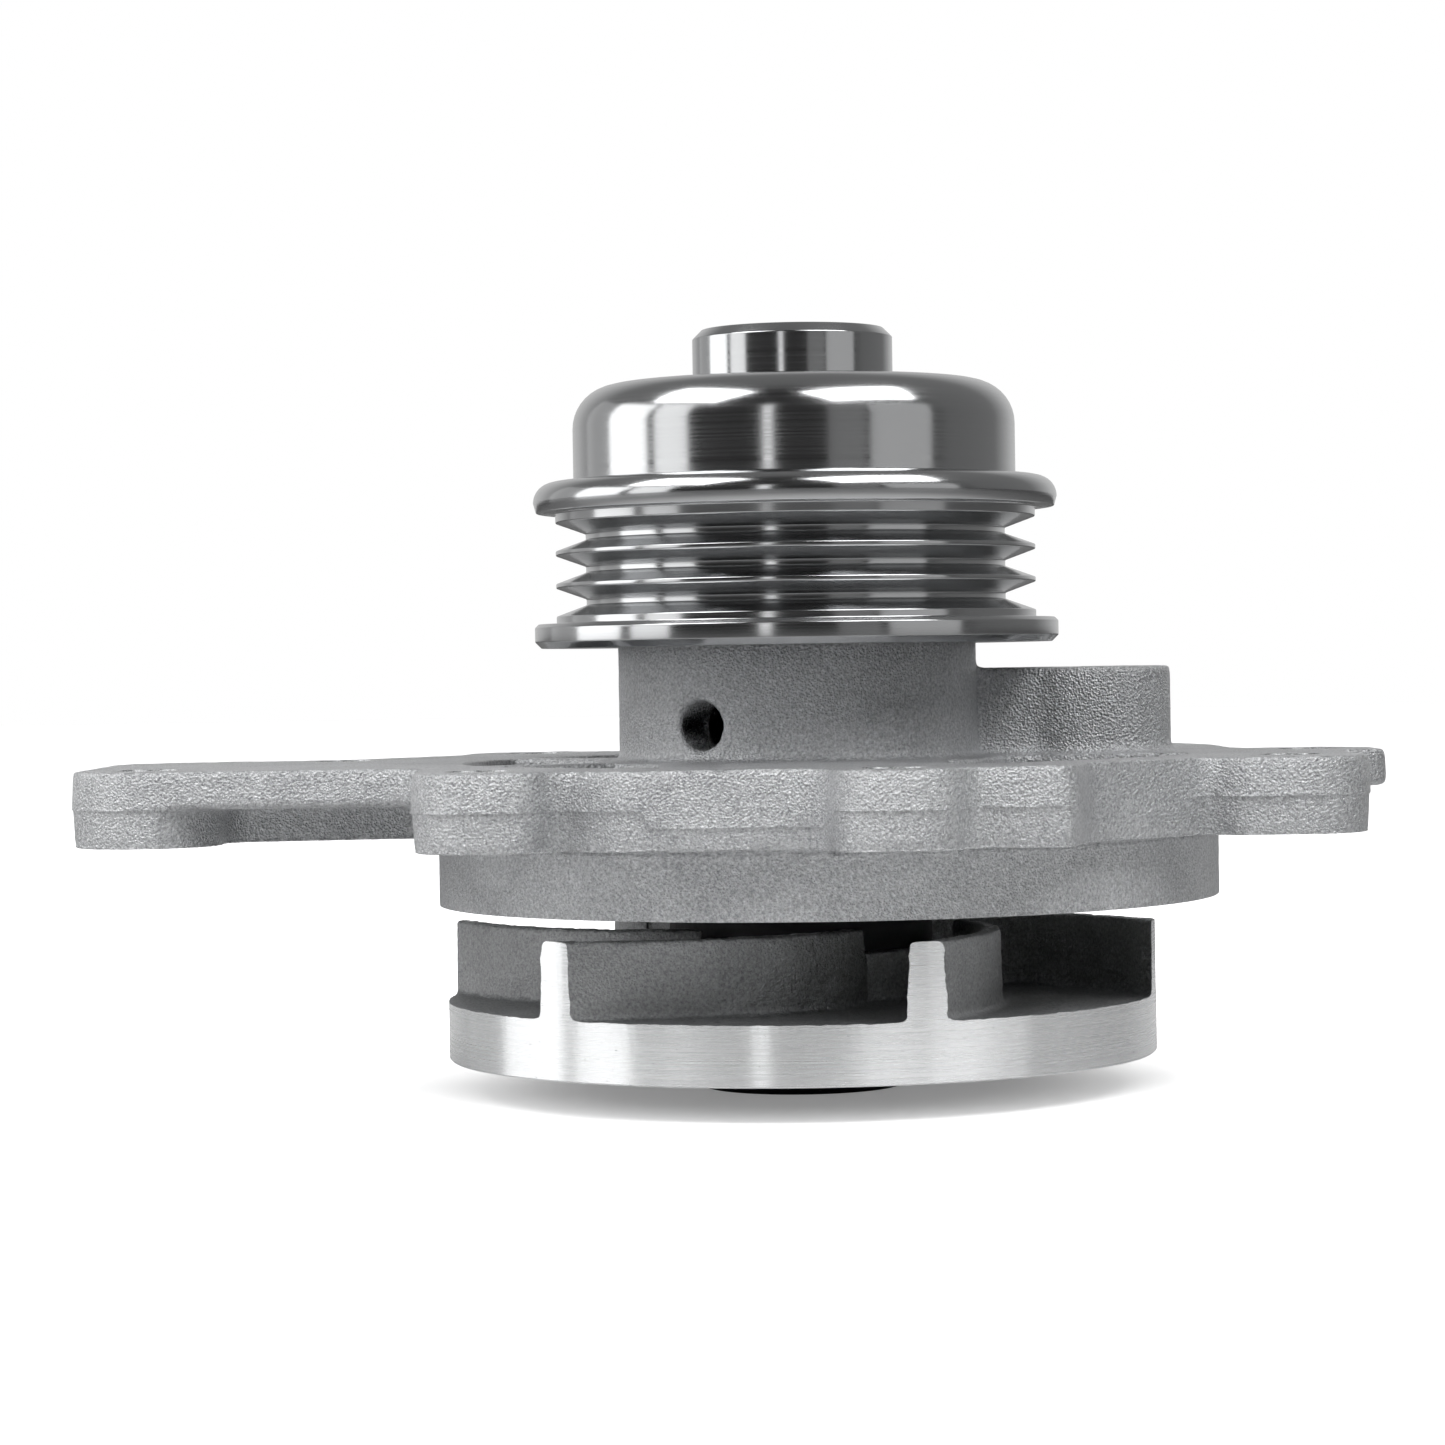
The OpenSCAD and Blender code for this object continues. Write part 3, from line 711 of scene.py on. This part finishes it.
bolt_radius = mounts["arm_bolt"]["dims"]["r_mm"] * MM
pair_angles = {"front_and_back_bolts": 280.3, "right_and_arm_bolts": 341.2}
bolts = [Vector(m["pos_m"]) for m in mounts.values()
         if m["kind"] == "bore" and m["name"].endswith("_bolt")]
for pair, angle in pair_angles.items():
    reach = mounts[pair]["dims"]["pcd_mm"] / 2 * MM
    bolts += [polar(reach, angle), polar(reach, angle + 180)]
boss_hole = mounts["side_boss_hole"]
boss_mouth = Vector(boss_hole["pos_m"])
boss_floor = boss_mouth - Vector((0, 0, boss_hole["dims"]["length_mm"] * MM))
boss_radius = boss_hole["dims"]["r_mm"] * MM
plate_top = mounts["arm_bolt"]["dims"]["length_mm"] * MM
print(len(bolts), "screw holes in a plate", round(plate_top / MM, 1), "mm thick")


# %% Rough casting
def add_spare(form, z):
    """Adds spare metal below every face that looks down at this height."""
    faces = [f for f in form.faces
             if f.normal.z < -0.99 and abs(f.calc_center_median().z - z) < 0.01 * MM]
    copy = bmesh.ops.duplicate(form, geom=faces)["geom"]
    skin = [g for g in copy if isinstance(g, bmesh.types.BMFace)]
    bmesh.ops.translate(form, verts=list({v for f in skin for v in f.verts}), vec=(0, 0, 2 * spare))
    grown = bmesh.ops.extrude_face_region(form, geom=skin)["geom"]
    bmesh.ops.translate(form, verts=[g for g in grown if isinstance(g, bmesh.types.BMVert)],
                        vec=(0, 0, -3 * spare))


cover_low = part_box("pump_housing")[0].z
spare = 0.9 * MM
plug_overlap = 0.1 * MM
form = bmesh.new()
form.from_mesh(nodes["pump_housing"].data)
bmesh.ops.remove_doubles(form, verts=form.verts, dist=0.002 * MM)
add_spare(form, cover_low)
for bolt in bolts:
    rod(form, bolt_radius + plug_overlap, bolt, Vector((bolt.x, bolt.y, plate_top)))
rod(form, boss_radius + plug_overlap, boss_floor, boss_mouth)
rough = bpy.data.meshes.new("cover_casting")
form.to_mesh(rough)
form.free()
rough.materials.clear()
cover_finishes = [blasted_alloy, milled_alloy]
cover = place("cover_casting", rough, cover_finishes, "pump_housing")
cover_voxel, cover_rounds = ((0.4, 14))
mould(cover, cover_voxel, cover_rounds)
print("the cover's skin has", len(cover.data.polygons), "faces")

# %% [markdown]
# ## Parting line
#
# The two halves of the die never meet quite true, so the cover's edge shows a step half way up.
# The line isn't level: on two stretches of the front it drops, where the die was relieved. Away
# from the line both halves taper by the draft that lets the casting leave the die. The skin's
# faces are too coarse for such a small step, so they are first cut finer close to the line. Then
# every point of the edge moves in by its draft, and below the line by the mismatch as well, and a
# trace of flash stands out here and there on the line itself.

# %% Where the parting line runs
split = plate_top / 2
drop = 1.8 * MM
bend = 0.8 * MM
stretches = ((-16 * MM, 2 * MM), (28 * MM, 40 * MM))


def ramp(value, low, high):
    """0 below low, 1 above high, and a smooth rise between."""
    t = np.clip((value - low) / (high - low), 0, 1)
    return t * t * (3 - 2 * t)


def line_height(x, y):
    """The height of the parting line at each point."""
    dip = sum(ramp(x, a - bend, a + bend) - ramp(x, b - bend, b + bend) for a, b in stretches)
    return split - drop * np.clip(dip, 0, 1) * (y < 0)


def read(mesh, kind):
    """Positions or normals of a mesh's vertices, as an array."""
    made = np.empty(len(mesh.vertices) * 3)
    if kind == "co":
        mesh.vertices.foreach_get("co", made)
    else:
        mesh.vertex_normals.foreach_get("vector", made)
    return made.reshape(-1, 3)


def is_wall(co, normal):
    """Which points are on the plate's upright edge."""
    outside = np.hypot(co[:, 0], co[:, 1]) > 30 * MM
    upright = np.abs(normal[:, 2]) < 0.8
    return outside & upright & (co[:, 2] > -0.6 * MM) & (co[:, 2] < plate_top)


# %% Step, draft and flash
def refine(mesh, reach):
    """Cuts the faces close to the parting line finer, so that they can show its step."""
    co, normal = read(mesh, "co"), read(mesh, "normal")
    near = is_wall(co, normal) & (np.abs(co[:, 2] - line_height(co[:, 0], co[:, 1])) < reach)
    form = bmesh.new()
    form.from_mesh(mesh)
    form.verts.ensure_lookup_table()
    edges = [e for e in form.edges if near[e.verts[0].index] and near[e.verts[1].index]]
    bmesh.ops.subdivide_edges(form, edges=edges, cuts=2, use_grid_fill=True)
    form.to_mesh(mesh)
    form.free()


mismatch = 0.13 * MM
draft = math.tan(math.radians(2.5))
flash_width, flash_depth, flash_spacing = 0.12 * MM, 0.25 * MM, 1.5 * MM
refine(cover.data, 0.6 * MM)
co, normal = read(cover.data, "co"), read(cover.data, "normal")
wall = is_wall(co, normal)
above = (co[:, 2] - line_height(co[:, 0], co[:, 1]))[wall]
patches = np.array([noise.noise(Vector(p) / flash_spacing) for p in co[wall]])
moved_in = np.abs(above) * draft + (1 - ramp(above, -0.08 * MM, 0.04 * MM)) * mismatch
flash = np.exp(-(above / flash_width) ** 2) * np.clip(patches, 0, 1) * flash_depth
co[wall, :2] += normal[wall, :2] * (flash - moved_in)[:, None]
cover.data.vertices.foreach_set("co", co.ravel())
print("moved", int(wall.sum()), "points of the plate's edge")

# %% Waves and the mounting face
roughen(cover, 3.5, 0.04)
roughen(cover, 0.9, 0.02)
co, normal = read(cover.data, "co"), read(cover.data, "normal")
faced = (np.abs(co[:, 2]) < 0.3 * MM) & (normal[:, 2] < -0.9)
co[faced, 2] = 0
cover.data.vertices.foreach_set("co", co.ravel())
print("flattened", int(faced.sum()), "points of the mounting face")

# %% [markdown]
# ## Machining the cover
#
# A tool faces the land, and drills open the screw holes, the boss and the weep hole, through
# which leaked coolant drips where it can be seen. The mounting face was flattened above, and it
# gets the machined finish here. The cuts are exact, so their edges stay sharp.

# %% Machine the cover
weep_angle, weep_height, weep_radius = 237, 11.95 * MM, 2.575 * MM
bearing_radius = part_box("bearing_outer_ring")[1].x
facing_radius = 110 * MM
clear = Vector((0, 0, 4 * MM))

form = bmesh.new()
land = Vector((0, 0, cover_low))
rod(form, facing_radius, land - clear, land, sides=128)
facing = bpy.data.meshes.new("facing_tool")
form.to_mesh(facing)
form.free()
cut(cover, solid("facing_tool", facing, cover_finishes))

form = bmesh.new()
for bolt in bolts:
    rod(form, bolt_radius, bolt - clear, Vector((bolt.x, bolt.y, plate_top)) + clear)
rod(form, boss_radius, boss_floor, boss_mouth + clear)
rod(form, weep_radius, polar(bearing_radius - 3 * MM, weep_angle, weep_height),
    polar(bearing_radius + 9 * MM, weep_angle, weep_height))
drills = bpy.data.meshes.new("drills")
form.to_mesh(drills)
form.free()
cut(cover, solid("drills", drills, cover_finishes))
for face in cover.data.polygons:
    if face.normal.z < -0.95 and abs(face.center.z) < 0.05 * MM:
        face.material_index = 1
smooth(cover.data, 40)
print("the machined cover has", len(cover.data.polygons), "faces")

# %% [markdown]
# ## The impeller
#
# Six vanes stand on a disc and sweep back as they near the hub. They are cast with the disc, so
# they taper a little to leave the mould, and their roots are filleted. We loft each vane as a
# tapered wall along its curve, let the voxels join the walls, the disc and the hub, and then turn
# the rim on the lathe, which cuts the tips of the vanes bright along with it.

# %% Vane walls
disc_low, impeller_high = (corner.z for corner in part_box("impeller"))
impeller_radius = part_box("impeller")[1].x
vane_top = disc_low + 14.4 * MM
disc_top = disc_low + 6.3 * MM
hub_radius = 15.2 * MM
insert_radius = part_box("impeller_insert")[1].x
vane_root = hub_radius + 1.8 * MM
vane_sweep, vane_count, first_tip = 60, 6, -132
top_width, foot_width, inner_share = 3.7 * MM, 4.5 * MM, 0.8
vane_steps = 26
past_rim, rooted = 1.6 * MM, 2 * MM


def vane_angle(radius):
    """How far a vane has swept round at this radius, in degrees."""
    inward = max(0, impeller_radius - radius) / (impeller_radius - vane_root)
    outward = max(0, radius - impeller_radius) / MM
    return vane_sweep * inward ** 1.2 - 1.5 * outward


def vane(form, tip):
    """Adds one vane as a loft of tapered slices along its curve."""
    slices = []
    for k in range(vane_steps + 1):
        radius = vane_root + (impeller_radius + past_rim - vane_root) * k / vane_steps
        way_out = (radius - vane_root) / (impeller_radius - vane_root)
        share = inner_share + (1 - inner_share) * way_out
        ring = []
        for width, z in ((foot_width, disc_top - rooted), (top_width, vane_top)):
            half = math.degrees(width * share / 2 / radius)
            angle = tip + vane_angle(radius)
            low, high = polar(radius, angle - half, z), polar(radius, angle + half, z)
            ring += [low, high] if z < disc_top else [high, low]
        slices.append([form.verts.new(p) for p in ring])
    for a, b in zip(slices, slices[1:]):
        for i in range(4):
            form.faces.new((a[i], a[(i + 1) % 4], b[(i + 1) % 4], b[i]))
    form.faces.new(slices[0])
    form.faces.new(reversed(slices[-1]))


# %% Cast the impeller
hub_top = impeller_high - 2.6 * MM
turning_spare = 1.2 * MM
form = bmesh.new()
rod(form, impeller_radius + turning_spare, Vector((0, 0, disc_low - spare)),
    Vector((0, 0, disc_top)), 192)
rod(form, hub_radius, Vector((0, 0, disc_low)), Vector((0, 0, hub_top)), 96)
for k in range(vane_count):
    vane(form, first_tip + 360 / vane_count * k)
bmesh.ops.recalc_face_normals(form, faces=form.faces)
walls = bpy.data.meshes.new("vaned_impeller")
form.to_mesh(walls)
form.free()
impeller_finishes = [unblasted_alloy_and_shade, milled_alloy]
impeller = place("vaned_impeller", walls, impeller_finishes, "impeller")
impeller_voxel, impeller_rounds = ((0.35, 9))
mould(impeller, impeller_voxel, impeller_rounds)
roughen(impeller, 3.0, 0.09)
roughen(impeller, 0.8, 0.1)
print("the impeller's skin has", len(impeller.data.polygons), "faces")

# %% [markdown]
# ## Turning the impeller
#
# The lathe leaves a plain turned body: a disc with the bore of the insert, as high as the vanes.
# What the casting and that body share is the finished impeller. The faces that come from the
# turned body are bright, and all the others keep the cast skin.

# %% Turn the impeller
edge = 0.15 * MM
lathe_cut = [
    Vector((insert_radius, disc_low)), Vector((impeller_radius - edge, disc_low)),
    Vector((impeller_radius, disc_low + edge)), Vector((impeller_radius, vane_top)),
    Vector((insert_radius, vane_top)),
]
turning = sweep("lathe_cut", lathe_cut, 240)
smooth(turning)
cut(impeller, solid("lathe_cut", turning, impeller_finishes), "INTERSECT")
smooth(impeller.data, 40)
print("the turned impeller has", len(impeller.data.polygons), "faces")

# %% [markdown]
# ## The pieces inside
#
# The bearing, the shaft and the rest of the seal keep the frame's exact shape. They only need
# their finish: ground steel, stainless sheet, rubber, carbon, ceramic or nylon.

# %% Finishes on the frame's own nodes
inside = {
    ground_steel: ("shaft", "bearing_outer_ring", "bearing_balls", "bearing_rollers"),
    pressed_steel: ("seal_spring_band", "seal_sleeve"),
    rubber: ("bearing_seal_front", "bearing_seal_rear", "seal_seat_cup", "slinger"),
    carbon: ("seal_carbon_ring",),
    ceramic: ("seal_seat_ring",),
    nylon: ("ball_cage", "roller_cage"),
}
for finish, names in inside.items():
    for name in names:
        mesh = nodes[name].data
        mesh.materials.clear()
        mesh.materials.append(finish)
print(sum(len(names) for names in inside.values()), "nodes keep the frame's shape")

# %% [markdown]
# ## The size
#
# The looks must not change the size of the part, so both boxes are printed side by side.

# %% Print the size
looks_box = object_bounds()
for which, made, wanted in zip(("low", "high"), looks_box, cad_box):
    print(which, [round(v / MM, 2) for v in made], "frame", [round(v / MM, 2) for v in wanted])
